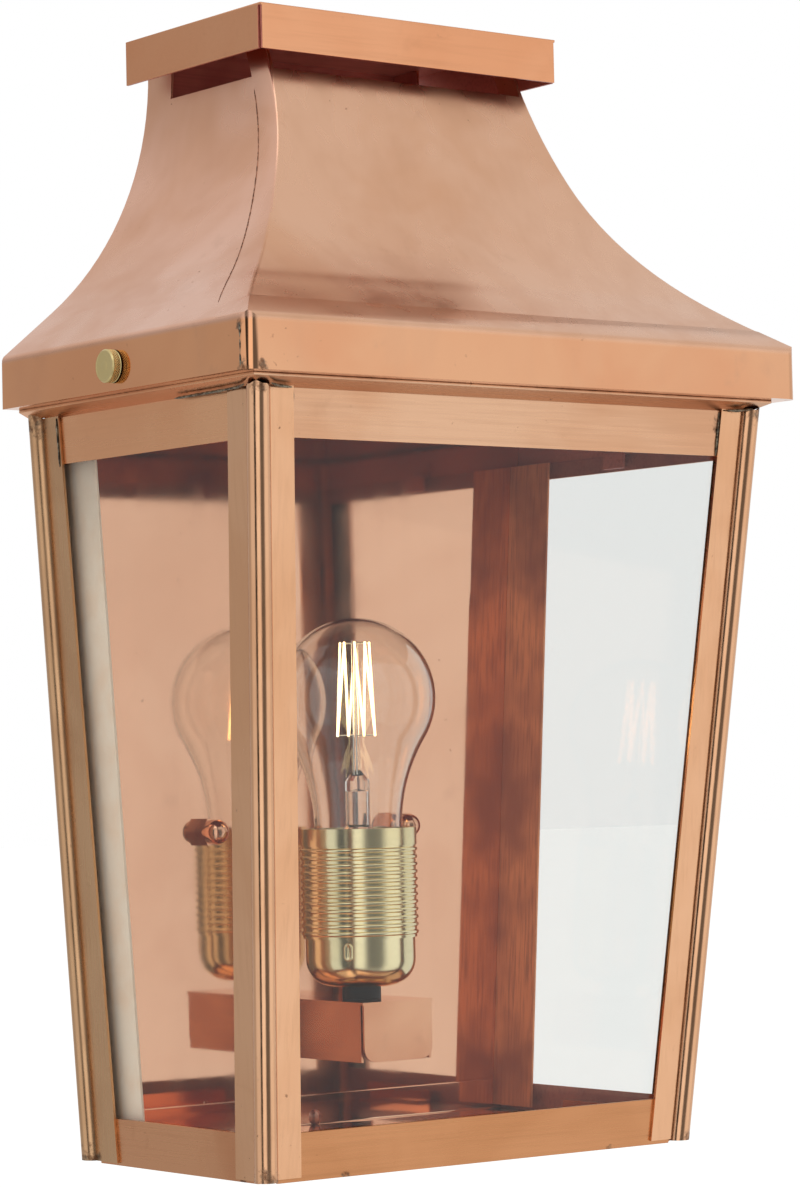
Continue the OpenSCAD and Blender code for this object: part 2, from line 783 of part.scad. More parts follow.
// Rubber ring that lines the cable hole in the back plate
module cable_grommet() color("#222222") placed() {
    bore = 3.2;
    lip = 1.5;
    flange = 2;
    translate([0, -wall_gap + lip, gland_z]) rotate([90, 0, 0]) difference() {
        union() {
            cylinder(r = gland_r + flange, h = lip);
            cylinder(r = gland_r, h = 2 * lip + sheet);
            translate([0, 0, lip + sheet]) cylinder(r = gland_r + flange, h = lip);
        }
        translate([0, 0, -past]) cylinder(r = bore, h = 2 * lip + sheet + 2 * past);
    }
}

// Puts a turned part on the axis of the lamp
module on_lamp() placed() translate([0, -lamp_y, 0]) children();

module nipple() color("#b9975a") {
    below = 9;
    above = 5;
    low = bracket_top - below;
    high = cup_foot + above;
    on_lamp() translate([0, 0, low]) difference() {
        cylinder(r = nipple_r, h = high - low);
        translate([0, 0, -past]) cylinder(r = nipple_bore, h = high - low + 2 * past);
    }
}

module nipple_nut() color("#b9975a") {
    nut_h = 3.5;
    nut_r = 8;
    on_lamp() translate([0, 0, bracket_top - sheet - nut_h]) difference() {
        cylinder(r = nut_r, h = nut_h, $fn = 6);
        translate([0, 0, -past]) cylinder(r = nipple_r, h = nut_h + 2 * past);
    }
}

module spacer() color("#1c1c1c") {
    spacer_r = 7.25;
    on_lamp() translate([0, 0, bracket_top]) difference() {
        cylinder(r = spacer_r, h = spacer_h);
        translate([0, 0, -past]) cylinder(r = nipple_r, h = spacer_h + 2 * past);
    }
}

// Section of the lampholder's cup, set in by a distance
module cup_section(set_in) {
    mid = [cup_r - cup_round, cup_foot + cup_round];
    translate([0, cup_foot + set_in]) square([mid[0], cup_round]);
    translate([0, mid[1]]) square([cup_r - set_in, cup_top - mid[1] + (set_in > 0 ? past : 0)]);
    intersection() {
        translate(mid) circle(r = cup_round - set_in);
        translate([0, cup_foot]) square([cup_r, cup_round]);
    }
}

module lampholder_cup() color("#c9a765") on_lamp() rotate_extrude() difference() {
    cup_section(0);
    cup_section(sheet);
    translate([0, cup_foot - past]) square([nipple_r, 2 * past + sheet]);
}

// Turned outer shell: a plain band, rings that stand for its thread, and a double lip at the foot
module lampholder_shell() color("#cfae6d") on_lamp() rotate_extrude() {
    ring_proud = 0.45;
    core_r = rim_r - ring_proud;
    difference() {
        union() {
            translate([0, rim_z - band_h]) square([rim_r, band_h]);
            translate([0, shell_foot]) square([core_r, rim_z - band_h - shell_foot]);
            for (i = [0 : ring_count - 1])
                translate([core_r - ring_r / 3, rim_z - band_h - (i + 0.6) * ring_pitch])
                    circle(r = ring_r, $fn = 24);
        }
        translate([-past, cup_top]) square([past + rim_r - shell_wall - 1, rim_z - cup_top + past]);
        translate([-past, shell_foot - past]) square([past + cup_r, cup_top - shell_foot + past]);
    }
}

module lampholder_insert() color("#efece2") on_lamp() difference() {
    translate([0, 0, insert_foot]) cylinder(r = cup_r - sheet, h = insert_top - insert_foot);
    translate([0, 0, insert_floor]) cylinder(r = cap_shell_r, h = insert_top - insert_floor + past);
    translate([0, 0, insert_foot - past]) cylinder(r = contact_r, h = insert_floor - insert_foot + 2 * past);
}

module screw_shell() color("#c9a765") {
    shell_gap = 1.5;
    low = insert_floor + shell_gap;
    on_lamp() translate([0, 0, low]) difference() {
        cylinder(r = cap_shell_r, h = insert_top - low);
        translate([0, 0, -past]) cylinder(r = thread_r, h = insert_top - low + 2 * past);
    }
}

module centre_contact() color("#c9a765") on_lamp() {
    pad_r = 4;
    pad_h = 0.6;
    tail = 2;
    translate([0, 0, insert_floor]) cylinder(r = pad_r, h = pad_h);
    translate([0, 0, insert_foot + tail]) cylinder(r = contact_r, h = tip_z - insert_foot - tail);
}

// Section of the bulb's envelope, set in by a distance
module bulb_section(set_in) {
    drop = bulb_z - rim_z;
    blend = (neck_r * neck_r + drop * drop - bulb_r * bulb_r) / (2 * (bulb_r - neck_r));
    centre = [neck_r + blend, rim_z];
    towards = centre - [0, bulb_z];
    lean = atan2(towards[1], towards[0]);
    polygon(concat(
        arc([0, bulb_z], bulb_r - set_in, 90, lean, 28),
        [for (i = [1 : 14]) centre + (blend + set_in) * along(180 + lean * (1 - i / 14))],
        [[seal_r - set_in, bulb_cap_top], [seal_r - set_in, seal_z - set_in], [0, seal_z - set_in]]
    ));
}

module bulb_glass() color("#f3efe6", 0.3) on_lamp() rotate_extrude() difference() {
    bulb_section(0);
    bulb_section(bulb_wall);
}

module bulb_cap() color("#c9a765") {
    low = tip_z + button_h;
    on_lamp() translate([0, 0, low]) difference() {
        cylinder(r = bulb_cap_r, h = bulb_cap_top - low);
        translate([0, 0, past]) cylinder(r = seal_r, h = bulb_cap_top - low);
        translate([0, 0, -past]) cylinder(r = button_r, h = 3 * past);
    }
}

module bulb_insulator() color("#222222") on_lamp() rotate_extrude() polygon([
    [0, tip_z + bulb_tip_h], [button_foot_r, tip_z + bulb_tip_h], [button_r, tip_z + button_h],
    [button_r, tip_z + button_h + 1], [0, tip_z + button_h + 1]
]);

module bulb_tip() color("#d0d0d0") on_lamp() translate([0, 0, tip_z])
    cylinder(r = bulb_tip_r, h = bulb_tip_h);

// Glass mount inside the bulb: a flare sealed into the neck, a pinched press and a thin rod
module bulb_stem() color("#eef2ef", 0.4) {
    flare_r = seal_r - bulb_wall;
    flare_z = bulb_cap_top - 2;
    on_lamp() {
        rotate_extrude() difference() {
            polygon([
                [0, flare_z - 2], [flare_r, flare_z - 2], [flare_r, flare_z], [tube_r, flare_z + 8],
                [tube_r, press_z], [rod_r, press_z + press_taper], [rod_r, cage_top + 1], [0, cage_top + 1]
            ]);
            polygon([
                [0, flare_z - 3], [flare_r - 1, flare_z - 3], [flare_r - 1, flare_z - 0.5],
                [tube_r - 1, flare_z + 7], [tube_r - 1, press_z - 4], [0, press_z - 3]
            ]);
        }
    }
}

// Straight wire between two points
module wire(from, to, r) {
    step = to - from;
    translate(from) rotate([0, acos(step[2] / norm(step)), atan2(step[1], step[0])])
        cylinder(r = r, h = norm(step), $fn = 16);
}

// Corner of the zigzag filament: even ones at the top, odd ones at the foot
function cage_point(i) = let (a = i * 180 / strand_count - 127, high = i % 2 == 0) [
    (high ? 0.72 : 1) * cage_r * cos(a), (high ? 0.72 : 1) * cage_r * sin(a),
    high ? cage_top : cage_foot
];

module bulb_filament() color("#ffdf9a") on_lamp() {
    for (i = [0 : 2 * strand_count - 2])
        wire(cage_point(i), cage_point(i + 1), strand_r);
    for (i = [0 : 2 * strand_count - 1])
        translate(cage_point(i)) sphere(r = knot_r, $fn = 16);
}

// Thin hooks from the rod out to the filament, and two lead wires that stand on the press and bend
// out to the filament's ends
module filament_supports() color("#9a9a96") on_lamp() {
    last = 2 * strand_count - 1;
    lead_foot = press_z + press_taper * (tube_r - lead_r + hook_r) / (tube_r - rod_r);
    for (i = [0 : last]) {
        tip = cage_point(i);
        out = [tip[0], tip[1], 0] / norm([tip[0], tip[1]]);
        is_lead = i == 0 || i == last;
        inner = (is_lead ? lead_r : rod_r) * out;
        wire(inner + [0, 0, tip[2]], tip - (knot_r + wire_gap) * out, hook_r);
        if (is_lead)
            wire(inner + [0, 0, lead_foot], inner + [0, 0, tip[2] + hook_r], hook_r);
    }
}

back_plate();
front_post_left();
front_post_right();
rear_post_left();
rear_post_right();
top_rail_front();
top_rail_left();
top_rail_right();
bottom_rail_front();
bottom_rail_left();
bottom_rail_right();
glass_front();
glass_left();
glass_right();
glass_stop_left();
glass_stop_right();
glass_clips();
pane_stops();
bottom_plate();
bottom_rivet();
roof_front();
roof_left();
roof_right();
roof_back();
roof_cap();
screw_bosses();
thumbscrew_left();
thumbscrew_right();
wall_nuts();
bracket();
bracket_rivets();
cable_grommet();
nipple();
nipple_nut();
spacer();
lampholder_cup();
lampholder_shell();
lampholder_insert();
screw_shell();
centre_contact();
bulb_glass();
bulb_cap();
bulb_insulator();
bulb_tip();
bulb_stem();
bulb_filament();
filament_supports();
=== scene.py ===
import json
import math
import random

import bmesh
import bpy
from mathutils import Matrix, Vector

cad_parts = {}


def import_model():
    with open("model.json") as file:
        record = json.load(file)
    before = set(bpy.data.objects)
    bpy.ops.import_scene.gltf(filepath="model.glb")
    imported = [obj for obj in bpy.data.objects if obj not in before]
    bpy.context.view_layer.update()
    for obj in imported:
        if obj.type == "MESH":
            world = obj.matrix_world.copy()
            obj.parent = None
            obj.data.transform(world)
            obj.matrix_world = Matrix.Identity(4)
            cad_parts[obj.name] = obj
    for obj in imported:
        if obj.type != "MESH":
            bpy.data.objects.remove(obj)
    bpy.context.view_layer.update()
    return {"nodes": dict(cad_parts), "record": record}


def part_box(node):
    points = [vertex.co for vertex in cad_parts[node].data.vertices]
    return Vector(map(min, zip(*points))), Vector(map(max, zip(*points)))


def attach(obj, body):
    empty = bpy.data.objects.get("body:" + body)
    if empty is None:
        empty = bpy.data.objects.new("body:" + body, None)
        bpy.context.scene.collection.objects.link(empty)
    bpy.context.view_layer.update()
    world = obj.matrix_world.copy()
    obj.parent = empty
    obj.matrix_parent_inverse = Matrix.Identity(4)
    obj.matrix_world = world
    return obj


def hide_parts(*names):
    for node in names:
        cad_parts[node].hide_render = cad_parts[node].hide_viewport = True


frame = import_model()
nodes = frame["nodes"]
random.seed(7)

MM = 0.001
# Lantern coordinates (mm, wall at y 0, z 0 at the eave's lower edge) to the row frame (m)
SHIFT = (0.0, 8.2, 156.5)
# Heights between which the polish of the eave band gives way to the brushed roof above it
BAND_TOP = (16.2, 18)
# Lowest height of the swept part of the roof
SWEEP_FOOT = 20
# Colours of stains, in linear light as all colours here. BROWN also colours the painted shade in hollows.
BROWN = (0.12, 0.045, 0.022)
RUST = (0.3, 0.14, 0.08)
# Vertices nearer than this are one
WELD = 0.00001
# Angle past which an edge of a frame node is sharp, in degrees
SHARP = 32


def at(x, y, z):
    return Vector(((x + SHIFT[0]) * MM, (y + SHIFT[1]) * MM, (z + SHIFT[2]) * MM))


class Tree:
    """Node tree of one material, with object coordinates."""

    def __init__(self, name):
        self.material = bpy.data.materials.new(name)
        self.material.use_nodes = True
        self.tree = self.material.node_tree
        self.tree.nodes.clear()
        self.out = self.tree.nodes.new("ShaderNodeOutputMaterial")
        self.coords = self.tree.nodes.new("ShaderNodeTexCoord").outputs["Object"]

    def add(self, kind, inputs=None, **settings):
        n = self.tree.nodes.new(kind)
        for key, value in settings.items():
            setattr(n, key, value)
        for key, value in (inputs or {}).items():
            self.put(n.inputs[key], value)
        return n

    def put(self, socket, value):
        if isinstance(value, bpy.types.NodeSocket):
            self.tree.links.new(value, socket)
        else:
            socket.default_value = value

    def math(self, operation, a, b=0.0, c=0.0, clamp=False):
        n = self.add("ShaderNodeMath", operation=operation, use_clamp=clamp)
        self.put(n.inputs[0], a)
        self.put(n.inputs[1], b)
        self.put(n.inputs[2], c)
        return n.outputs[0]

    def scaled(self, scale, place=(0, 0, 0)):
        return self.add("ShaderNodeMapping", {"Vector": self.coords, "Scale": scale, "Location": place}).outputs[0]

    def noise(self, scale, detail=2.0, roughness=0.5, vector=None, distortion=0.0):
        return self.add(
            "ShaderNodeTexNoise",
            {
                "Vector": vector or self.coords,
                "Scale": scale,
                "Detail": detail,
                "Roughness": roughness,
                "Distortion": distortion,
            },
        ).outputs["Fac"]

    def span(self, value, low, high, to_low=0.0, to_high=1.0):
        return self.add(
            "ShaderNodeMapRange",
            {"Value": value, "From Min": low, "From Max": high, "To Min": to_low, "To Max": to_high},
            interpolation_type="SMOOTHSTEP",
        ).outputs[0]

    def mix(self, factor, a, b):
        n = self.add("ShaderNodeMix", data_type="RGBA")
        self.put(n.inputs["Factor"], factor)
        self.put(n.inputs["A"], (*a, 1) if isinstance(a, tuple) else a)
        self.put(n.inputs["B"], (*b, 1) if isinstance(b, tuple) else b)
        return n.outputs["Result"]

    def near(self, points):
        """1 within each point's inner radius, 0 beyond its outer one. points: (place, inner, outer), in m."""
        total = 0.0
        for place, inner, outer in points:
            gap = self.add("ShaderNodeVectorMath", {0: self.coords, 1: place}, operation="DISTANCE")
            total = self.math("MAXIMUM", total, self.span(gap.outputs["Value"], inner, outer, 1.0, 0.0))
        return total

    def bump(self, height, strength, distance, normal=None):
        inputs = {"Height": height, "Strength": strength, "Distance": distance}
        if normal is not None:
            inputs["Normal"] = normal
        return self.add("ShaderNodeBump", inputs).outputs[0]

    def principled(self, **inputs):
        n = self.add("ShaderNodeBsdfPrincipled", {k.replace("_", " "): v for k, v in inputs.items()})
        self.tree.links.new(n.outputs[0], self.out.inputs["Surface"])
        return n


def sheet_metal(
    name, colour, warm, grain, roughness,
    patina=(), stain_and_shade=BROWN, speck=0.55, wave=0.35, brush=1.0, grime_and_shade=0.0, band=None,
):
    """Rubbed copper or brass sheet.

    grain is the scale of its brushing and patina the places of dull crust. speck, wave and brush are the strengths
    of specks, dents and brushing, and grime that of dirt with painted shade in corners and grooves. stain colours
    the specks, the crust and this dirt with painted shade. band holds two colours for a polished foot.
    """
    t = Tree(name)
    fine = t.noise(1.0, 3.0, 0.6, t.scaled(grain))
    finer = t.noise(1.0, 2.0, 0.5, t.scaled(tuple(3.1 * g for g in grain), (3.0, 1.0, 2.0)))
    cloud = t.noise(16.0, 3.0, 0.55, distortion=0.6)
    patch = t.noise(45.0, 4.0, 0.65, distortion=0.3)
    spots = t.noise(420.0, 2.0, 0.5)
    sparse = t.noise(24.0, 2.0, 0.5, t.scaled((1, 1, 1), (4.0, 7.0, 1.0)))
    tone = t.mix(t.span(cloud, 0.35, 0.7), colour, warm)
    if band:
        height = t.add("ShaderNodeSeparateXYZ", {0: t.coords}).outputs["Z"]
        polished, brushed = (at(0, 0, z).z for z in BAND_TOP)
        lower = t.mix(t.span(cloud, 0.35, 0.7), *band)
        tone = t.mix(t.span(height, polished, brushed, 1.0, 0.0), tone, lower)
    rubbed = t.math("MULTIPLY", t.span(fine, 0.45, 0.75), 0.22 * brush)
    tone = t.mix(rubbed, tone, tuple(0.86 * c for c in warm))
    speckle = t.math("MULTIPLY", t.span(spots, 0.70, 0.78), t.span(sparse, 0.5, 0.68))
    tone = t.mix(t.math("MULTIPLY", speckle, speck), tone, stain_and_shade)
    dull = t.math("MULTIPLY", t.span(patch, 0.6, 0.78), 0.35)
    tone = t.mix(dull, tone, tuple(0.8 * c for c in warm))
    rough = t.math("ADD", roughness, t.math("MULTIPLY", t.span(fine, 0.3, 0.7), 0.10 * brush))
    rough = t.math("ADD", rough, t.math("MULTIPLY", t.span(cloud, 0.3, 0.7), 0.06))
    rough = t.math("ADD", rough, t.math("MULTIPLY", speckle, 0.3))
    if band:
        rough = t.math("MULTIPLY", rough, t.span(height, polished, brushed, 0.25, 1.0))
    if patina:
        ragged = t.noise(260.0, 4.0, 0.7)
        edge = t.math("ADD", t.near(patina), t.math("MULTIPLY_ADD", ragged, 2.2, -1.25))
        crust = t.math("MULTIPLY", t.span(edge, 0.35, 0.95), 0.85)
        tone = t.mix(crust, tone, t.mix(t.span(spots, 0.4, 0.7), stain_and_shade, (0.13, 0.125, 0.10)))
        rough = t.math("ADD", rough, t.math("MULTIPLY", crust, 0.35), clamp=True)
    # Dirt and painted shade: where ambient occlusion finds a hollow, the stain colour darkens corners, seams and
    # grooves, for patina there and for the shade that falls in them.
    if grime_and_shade:
        hollow = t.add("ShaderNodeAmbientOcclusion", {"Distance": 0.0035}, samples=8).outputs["AO"]
        edge = t.math("ADD", hollow, t.math("MULTIPLY_ADD", patch, 0.5, -0.25))
        dirt_and_shade = t.math("MULTIPLY", t.span(edge, 0.30, 0.62, 1.0, 0.0), grime_and_shade)
        tone = t.mix(dirt_and_shade, tone, stain_and_shade)
        rough = t.math("ADD", rough, t.math("MULTIPLY", dirt_and_shade, 0.25), clamp=True)
    height = t.math("ADD", t.math("MULTIPLY", fine, 0.6), t.math("MULTIPLY", finer, 0.4))
    normal = t.bump(t.noise(14.0, 1.0, 0.4), wave, 0.0012)
    normal = t.bump(height, 0.10 * brush, 0.0002, normal)
    t.principled(Base_Color=tone, Metallic=1.0, Roughness=rough, Normal=normal)
    return t.material


along_x = (18, 700, 700)
along_y = (700, 18, 700)
along_z = (500, 500, 14)

# Places of old solder and dull patina: (place, inner radius, outer radius)
eave_stains = [
    (at(-124, -153, 1), 0.0, 0.007),
    (at(-124.5, -152, 15), 0.0, 0.004),
    (at(-119, -157, 1), 0.0, 0.006),
    (at(124, -152, 2), 0.0, 0.006),
]
post_stains = [
    (at(-113, -146, -3), 0.0, 0.008),
    (at(-95, -116, -276), 0.0, 0.012),
    (at(95, -116, -276), 0.0, 0.010),
    (at(113, -145, -4), 0.0, 0.010),
    (at(-113, -4, -5), 0.0, 0.012),
    (at(-95, -4, -275), 0.0, 0.014),
    (at(95, -4, -272), 0.002, 0.03),
]
rail_stains = [
    (at(98, -144, -10), 0.0, 0.010),
    (at(-95, -100, -276), 0.0, 0.006),
    (at(60, -116, -276), 0.0, 0.005),
    (at(-60, -116, -276), 0.0, 0.006),
]
# Polished eave band
FRONT_BAND = ((0.75, 0.40, 0.225), (0.72, 0.35, 0.19))
SIDE_BAND = ((0.84, 0.41, 0.21), (0.78, 0.36, 0.18))

# Row: key, colour, warmer colour, grain, roughness, other settings
COPPERS = [
    ("band", (0.78, 0.375, 0.2), (0.74, 0.33, 0.165), (14, 420, 420), 0.12, dict(wave=0.25, grime_and_shade=0.8)),
    ("front", (0.76, 0.46, 0.29), (0.70, 0.38, 0.22), along_x, 0.2, dict(patina=rail_stains, grime_and_shade=0.8)),
    ("foot", (0.62, 0.29, 0.135), (0.56, 0.25, 0.11), along_x, 0.18, dict(patina=rail_stains, grime_and_shade=0.8)),
    ("side", (0.86, 0.46, 0.25), (0.80, 0.40, 0.21), along_y, 0.2, dict(patina=rail_stains, grime_and_shade=0.8)),
    ("side_foot", (0.72, 0.36, 0.19), (0.62, 0.28, 0.14), along_y, 0.2, dict(patina=rail_stains, grime_and_shade=0.8)),
    ("post", (0.80, 0.46, 0.27), (0.74, 0.40, 0.22), along_z, 0.09, dict(patina=post_stains, grime_and_shade=0.9)),
    (
        "roof", (0.79, 0.47, 0.31), (0.74, 0.41, 0.25), (50, 50, 16), 0.22,
        dict(patina=eave_stains, wave=0.3, grime_and_shade=0.25, band=FRONT_BAND),
    ),
    (
        "roof_side", (0.78, 0.45, 0.32), (0.70, 0.37, 0.23), (70, 30, 16), 0.2,
        dict(patina=eave_stains, wave=0.5, grime_and_shade=0.25, band=SIDE_BAND),
    ),
    (
        "rear", (0.66, 0.40, 0.22), (0.56, 0.32, 0.17), along_z, 0.2,
        dict(patina=post_stains, speck=0.8, grime_and_shade=0.9),
    ),
    ("back", (0.74, 0.42, 0.26), (0.62, 0.31, 0.18), along_x, 0.24, dict(speck=0.8, wave=0.4, grime_and_shade=0.5)),
    ("inside", (0.62, 0.28, 0.19), (0.46, 0.17, 0.11), along_z, 0.24, dict(speck=0.8, grime_and_shade=0.6)),
    ("floor", (0.86, 0.50, 0.33), (0.78, 0.40, 0.24), (20, 90, 90), 0.03, dict(brush=0.3)),
    (
        "plate", (0.86, 0.49, 0.32), (0.81, 0.44, 0.28), (160, 160, 9), 0.02,
        dict(stain_and_shade=RUST, wave=0.03, brush=0.3),
    ),
    (
        "polish", (0.84, 0.46, 0.29), (0.74, 0.34, 0.2), (90, 90, 90), 0.07,
        dict(wave=0.15, brush=0.5, grime_and_shade=0.6),
    ),
    # Darker copy of the tray copper: painted shade on the bracket's left-facing flange
    ("tray_shaded_side", (0.50, 0.22, 0.12), (0.40, 0.14, 0.07), along_y, 0.12, dict(wave=0.3, brush=0.5)),
    ("tray", (0.80, 0.42, 0.25), (0.66, 0.29, 0.16), along_y, 0.08, dict(wave=0.3, brush=0.5, grime_and_shade=0.6)),
]
copper = {
    key: sheet_metal("copper_" + key, colour, warm, grain, rough, **more)
    for key, colour, warm, grain, rough, more in COPPERS
}
brass = sheet_metal(
    "brass", (0.99, 0.87, 0.54), (0.96, 0.81, 0.46), (60, 60, 600), 0.15,
    stain_and_shade=(0.3, 0.2, 0.09), speck=0.3, wave=0.06, brush=0.4,
)
# Knurled brass: its hollows get the strongest dirt and painted shade, which darkens the knurl's grooves.
knurl_brass = sheet_metal(
    "brass_screw", (0.74, 0.62, 0.32), (0.66, 0.52, 0.24), (300, 300, 300), 0.22,
    stain_and_shade=(0.06, 0.045, 0.015), speck=0.3, wave=0.1, brush=0.8, grime_and_shade=1.0,
)


def solder_metal(name, dark, pale):
    t = Tree(name)
    lump = t.noise(700.0, 3.0, 0.6)
    cloud = t.noise(160.0, 3.0, 0.6)
    tone = t.mix(t.span(lump, 0.4, 0.62), dark, pale)
    tone = t.mix(t.span(cloud, 0.55, 0.7), tone, (0.20, 0.09, 0.045))
    rough = t.math("MULTIPLY_ADD", cloud, 0.3, 0.18)
    t.principled(Base_Color=tone, Metallic=0.85, Roughness=rough, Normal=t.bump(lump, 0.6, 0.0004))
    return t.material


solder = solder_metal("solder", (0.05, 0.045, 0.036), (0.30, 0.26, 0.19))
seam_metal = solder_metal("seam", (0.17, 0.085, 0.055), (0.50, 0.27, 0.18))


def window_glass():
    t = Tree("window_glass")
    smear = t.noise(22.0, 3.0, 0.6, t.scaled((1, 1, 0.5)))
    dust = t.noise(900.0, 1.0, 0.5)
    rough = t.math("MULTIPLY", t.span(smear, 0.45, 0.75), 0.04)
    tint = t.mix(t.math("MULTIPLY", t.span(dust, 0.68, 0.75), 0.2), (0.945, 0.95, 0.945), (0.84, 0.84, 0.82))
    clear = t.add("ShaderNodeBsdfTransparent", {"Color": tint}).outputs[0]
    gloss = t.add("ShaderNodeBsdfGlossy", {"Color": (1, 1, 1, 1), "Roughness": rough}).outputs[0]
    fresnel = t.add("ShaderNodeFresnel", {"IOR": 1.45}).outputs[0]
    inner = t.add("ShaderNodeNewGeometry").outputs["Backfacing"]
    share = t.math("MULTIPLY", fresnel, t.math("SUBTRACT", 1.0, inner))
    both = t.add("ShaderNodeMixShader", {0: share, 1: clear, 2: gloss}).outputs[0]
    t.tree.links.new(both, t.out.inputs["Surface"])
    return t.material


def bulb_glass():
    t = Tree("bulb_glass")
    ripple = t.bump(t.noise(30.0, 1.0, 0.4), 0.15, 0.001)
    smear = t.math("MULTIPLY", t.span(t.noise(60.0, 3.0, 0.6), 0.5, 0.8), 0.03)
    glass = t.principled(
        Base_Color=(0.98, 0.97, 0.95, 1), Roughness=smear, IOR=1.45, Transmission_Weight=1.0, Normal=ripple
    ).outputs[0]
    clear = t.add("ShaderNodeBsdfTransparent", {"Color": (0.97, 0.97, 0.96, 1)}).outputs[0]
    shadow = t.add("ShaderNodeLightPath").outputs["Is Shadow Ray"]
    both = t.add("ShaderNodeMixShader", {0: shadow, 1: glass, 2: clear}).outputs[0]
    t.tree.links.new(both, t.out.inputs["Surface"])
    return t.material


def dull_plastic(name, colour, roughness):
    t = Tree(name)
    tone = t.mix(t.span(t.noise(160.0, 3.0, 0.6), 0.35, 0.7), colour, tuple(1.6 * c for c in colour))
    rough = t.math("MULTIPLY_ADD", t.noise(90.0, 3.0, 0.6), 0.25, roughness)
    t.principled(Base_Color=tone, Roughness=rough, Normal=t.bump(t.noise(700.0, 2.0, 0.5), 0.2, 0.0003))
    return t.material


def pale_strip():
    """Old tinned copper that shows pale through the pane."""
    t = Tree("tinned_copper")
    cloud = t.noise(60.0, 3.0, 0.6)
    tone = t.mix(t.span(cloud, 0.35, 0.7), (0.98, 0.80, 0.62), (0.95, 0.70, 0.50))
    rough = t.math("MULTIPLY_ADD", cloud, 0.2, 0.4)
    normal = t.bump(t.noise(500.0, 2.0, 0.5), 0.1, 0.0002)
    t.principled(Base_Color=tone, Metallic=0.05, Roughness=rough, Normal=normal)
    return t.material


def oxidised(name, pale, dark, grain):
    """Unpolished inner side of the sheet, brown-red with faint streaks."""
    t = Tree(name)
    cloud = t.noise(18.0, 3.0, 0.6)
    streak = t.noise(1.0, 3.0, 0.6, t.scaled(grain))
    tone = t.mix(t.span(cloud, 0.35, 0.7), pale, dark)
    tone = t.mix(t.math("MULTIPLY", t.span(streak, 0.45, 0.7), 0.6), tone, dark)
    rough = t.math("MULTIPLY_ADD", streak, 0.2, 0.3)
    t.principled(Base_Color=tone, Metallic=0.35, Roughness=rough, Normal=t.bump(streak, 0.1, 0.0002))
    return t.material


def glow():
    t = Tree("filament")
    tone = t.mix(t.span(t.noise(300.0, 1.0, 0.5), 0.3, 0.7), (1.0, 0.72, 0.36), (1.0, 0.80, 0.50))
    t.principled(Base_Color=(0.9, 0.7, 0.4, 1), Emission_Color=tone, Emission_Strength=3.0)
    return t.material


window = window_glass()
bulb = bulb_glass()
black = dull_plastic("black_plastic", (0.012, 0.012, 0.012), 0.35)
ceramic = dull_plastic("ceramic", (0.72, 0.69, 0.62), 0.2)
wire = sheet_metal(
    "wire", (0.55, 0.54, 0.52), (0.42, 0.40, 0.38), (200, 200, 200), 0.3, stain_and_shade=(0.1, 0.08, 0.06), brush=0.4
)
filament = glow()
tinned = pale_strip()
copper["roof_inner"] = oxidised("copper_roof_inner", (0.62, 0.19, 0.14), (0.38, 0.10, 0.075), along_x)
copper["post_inner"] = oxidised("copper_post_inner", (0.98, 0.38, 0.16), (0.42, 0.12, 0.06), (900, 900, 6))

# Material of each frame node
LOOKS = {
    copper["plate"]: ["back_plate"],
    copper["polish"]: ["wall_nuts", "bracket_rivets"],
    copper["tray"]: ["bracket"],
    copper["band"]: ["roof_cap"],
    copper["front"]: ["top_rail_front"],
    copper["foot"]: ["bottom_rail_front"],
    copper["side"]: ["top_rail_left", "top_rail_right"],
    copper["side_foot"]: ["bottom_rail_left", "bottom_rail_right"],
    copper["floor"]: ["bottom_plate", "pane_stops"],
    copper["post"]: ["front_post_left", "front_post_right"],
    copper["rear"]: ["rear_post_left", "rear_post_right"],
    copper["post_inner"]: ["glass_stop_right"],
    tinned: ["glass_stop_left"],
    copper["inside"]: ["bottom_rivet"],
    copper["back"]: ["roof_back"],
    copper["roof_inner"]: ["glass_clips"],
    copper["roof"]: ["roof_front"],
    copper["roof_side"]: ["roof_left", "roof_right"],
    knurl_brass: ["thumbscrew_left", "thumbscrew_right"],
    brass: [
        "screw_bosses", "nipple", "nipple_nut", "lampholder_cup", "lampholder_shell", "screw_shell",
        "centre_contact", "bulb_cap",
    ],
    window: ["glass_front", "glass_left", "glass_right"],
    bulb: ["bulb_glass", "bulb_stem"],
    black: ["cable_grommet", "spacer", "bulb_insulator"],
    ceramic: ["lampholder_insert"],
    wire: ["bulb_tip", "filament_supports"],
    filament: ["bulb_filament"],
}
for material, names in LOOKS.items():
    for name in names:
        data = nodes[name].data
        data.materials.clear()
        data.materials.append(material)


def soften(name, width, flat):
    """Rounded edges and smooth shading by angle, as modifiers on a frame node."""
    obj = nodes[name]
    for polygon in obj.data.polygons:
        polygon.use_smooth = True
    weld = obj.modifiers.new("weld", "WELD")
    weld.merge_threshold = WELD
    if width:
        bevel = obj.modifiers.new("bevel", "BEVEL")
        bevel.width = width
        bevel.segments = 2
        bevel.limit_method = "ANGLE"
        bevel.angle_limit = math.radians(SHARP)
        bevel.harden_normals = False
        bevel.use_clamp_overlap = True
    split = obj.modifiers.new("split", "EDGE_SPLIT")
    split.split_angle = math.radians(SHARP)
    if flat:
        even = obj.modifiers.new("even", "WEIGHTED_NORMAL")
        even.mode = "FACE_AREA_WITH_ANGLE"
        even.weight = 90


# Pieces that replace a frame node keep its material slot and its body
bodies = {n: b for b, members in frame["record"]["behaviour"]["bodies"].items() for n in members}


def paint_faces(name, material, chosen):
    """Give the faces of a frame node that chosen() names their own material."""
    data = nodes[name].data
    data.materials.append(material)
    for polygon in data.polygons:
        if chosen(polygon.normal, polygon.center):
            polygon.material_index = 1


